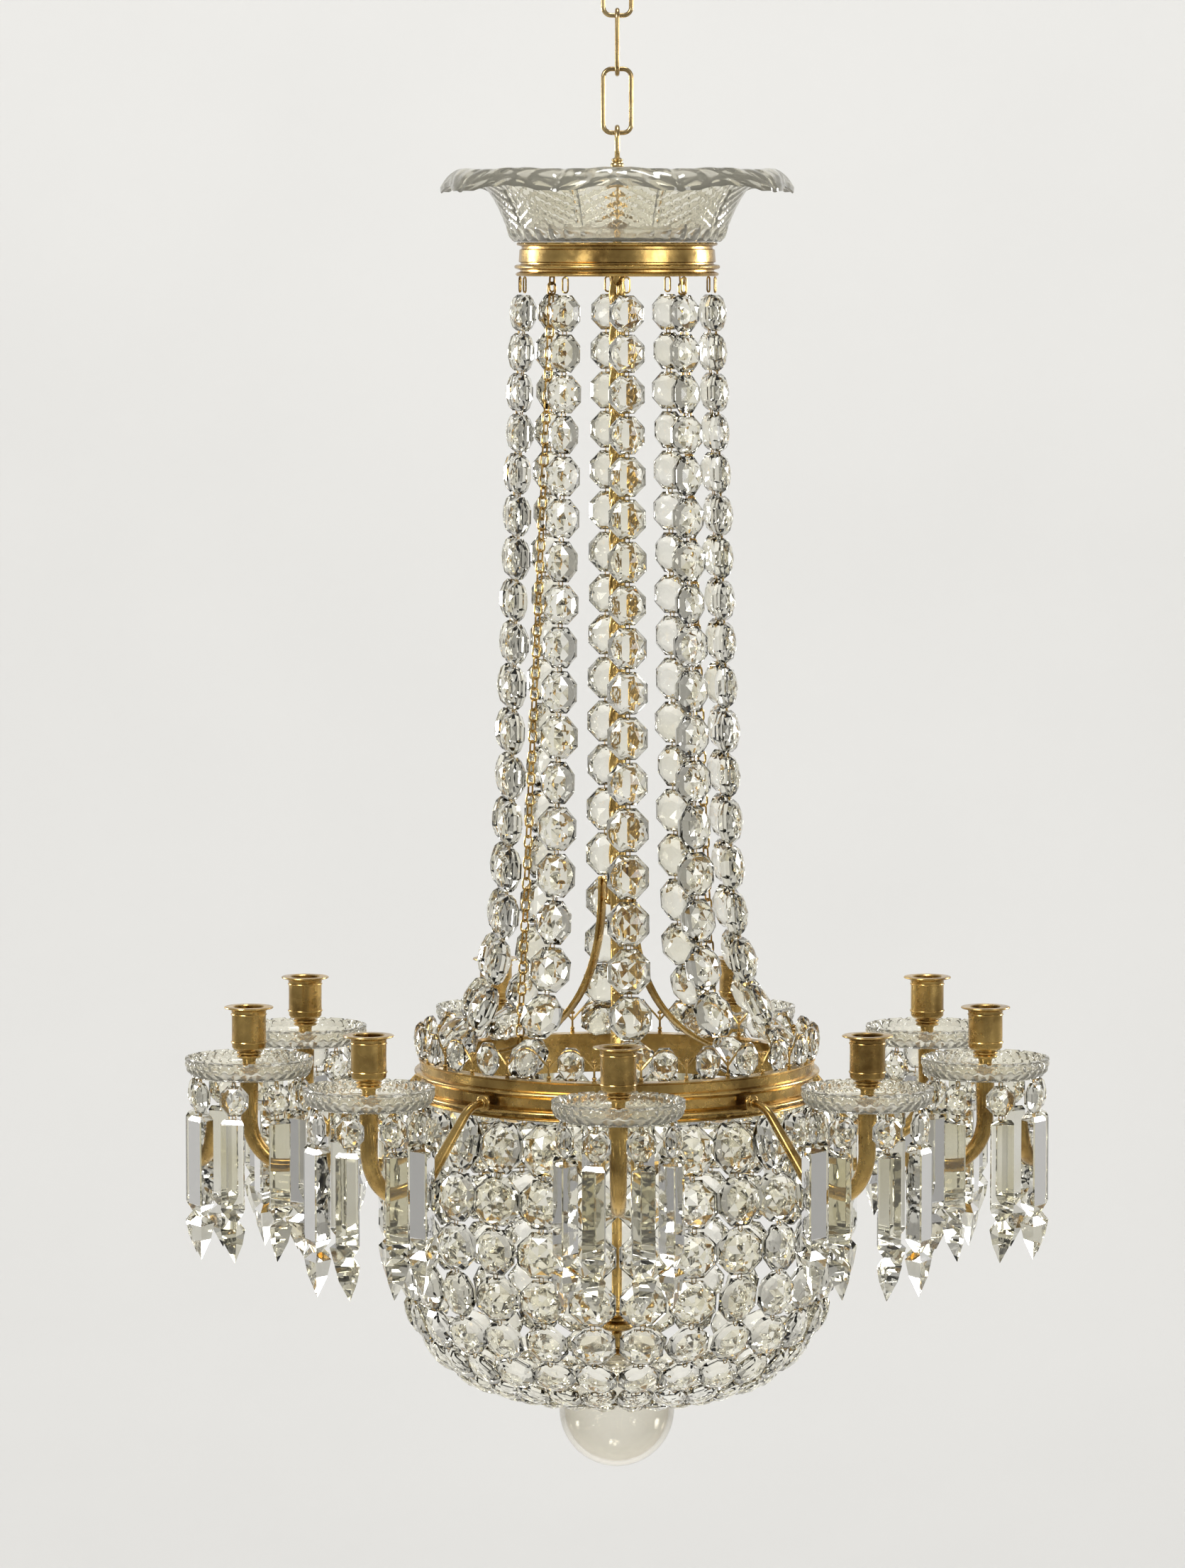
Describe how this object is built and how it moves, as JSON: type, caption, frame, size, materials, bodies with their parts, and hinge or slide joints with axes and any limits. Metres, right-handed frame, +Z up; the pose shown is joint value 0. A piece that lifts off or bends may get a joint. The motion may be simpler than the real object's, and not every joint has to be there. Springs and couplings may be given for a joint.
{
  "type": "crystal chandelier",
  "caption": "Tent-and-bag crystal chandelier on a chain: glass crown, bead strands, brass ring with candle arms, drip pans with spear drops and a glass ball",
  "frame": {"origin": "inside of the top chain link's top bend, where a ceiling hook bears", "axes": "+Z up along the hanging axis, -Y to the front arm, +X to the right seen from the front"},
  "size_m": [0.6732, 0.6629, 1.1784],
  "materials": {
    "chain_brass": "lacquered brass chain, worn bright on the outside",
    "gilt_brass": "gilt lacquered brass, polished, darker in the recesses",
    "bead_crystal": "clear lead crystal, cut and polished facets",
    "drop_crystal": "clear lead crystal prisms, cut and polished",
    "cut_glass": "clear glass with deep mitre cutting",
    "ball_glass": "clear blown glass, polished"
  },
  "bodies": {
    "hanger": {"top_link": "chain_brass"},
    "second_link": {"middle_link": "chain_brass"},
    "third_link": {"lower_link": "chain_brass"},
    "ball": {"glass_ball": "ball_glass", "ball_cap": "gilt_brass"},
    "chandelier": {"arms": "gilt_brass", "bag_strands_1": "bead_crystal", "bag_strands_2": "bead_crystal", "bag_strands_3": "bead_crystal", "bag_strands_4": "bead_crystal", "bag_strands_5": "bead_crystal", "bag_strands_6": "bead_crystal", "bag_strands_7": "bead_crystal", "bag_strands_8": "bead_crystal", "bag_strands_9": "bead_crystal", "ball_rod": "gilt_brass", "candle_cups": "gilt_brass", "centre_stem": "gilt_brass", "corona_ring": "gilt_brass", "corona_spider": "gilt_brass", "crown_glass": "cut_glass", "crown_nut": "gilt_brass", "drip_pan_1": "cut_glass", "drip_pan_2": "cut_glass", "drip_pan_3": "cut_glass", "drip_pan_4": "cut_glass", "drip_pan_5": "cut_glass", "drip_pan_6": "cut_glass", "drip_pan_7": "cut_glass", "drip_pan_8": "cut_glass", "drip_pan_9": "cut_glass", "drops_1": "drop_crystal", "drops_2": "drop_crystal", "drops_3": "drop_crystal", "drops_4": "drop_crystal", "drops_5": "drop_crystal", "drops_6": "drop_crystal", "drops_7": "drop_crystal", "drops_8": "drop_crystal", "drops_9": "drop_crystal", "foot_ring": "gilt_brass", "gallery_crystals": "bead_crystal", "gallery_posts": "gilt_brass", "main_ring": "gilt_brass", "stem_eye": "chain_brass", "stem_straps": "gilt_brass", "strap_hub": "gilt_brass", "support_chains": "gilt_brass", "tent_hooks": "gilt_brass", "tent_strand_1": "bead_crystal", "tent_strand_10": "bead_crystal", "tent_strand_2": "bead_crystal", "tent_strand_3": "bead_crystal", "tent_strand_4": "bead_crystal", "tent_strand_5": "bead_crystal", "tent_strand_6": "bead_crystal", "tent_strand_7": "bead_crystal", "tent_strand_8": "bead_crystal", "tent_strand_9": "bead_crystal", "upper_stem": "gilt_brass"}
  },
  "joints": [
    {"name": "second_link_swing", "type": "hinge", "parent": "hanger", "child": "second_link", "pos_m": [0, 0, -0.0469], "axis": [1, 0, 0], "range_deg": [-30, 30]},
    {"name": "third_link_swing", "type": "hinge", "parent": "second_link", "child": "third_link", "pos_m": [0, 0, -0.09165], "axis": [0, 1, 0], "range_deg": [-30, 30]},
    {"name": "chandelier_swing", "type": "hinge", "parent": "third_link", "child": "chandelier", "pos_m": [0, 0, -0.1364], "axis": [1, 0, 0], "range_deg": [-30, 30]},
    {"name": "ball_turn", "type": "hinge", "parent": "chandelier", "child": "ball", "pos_m": [0, 0, -1.12985], "axis": [0, 0, 1], "continuous": true}
  ]
}
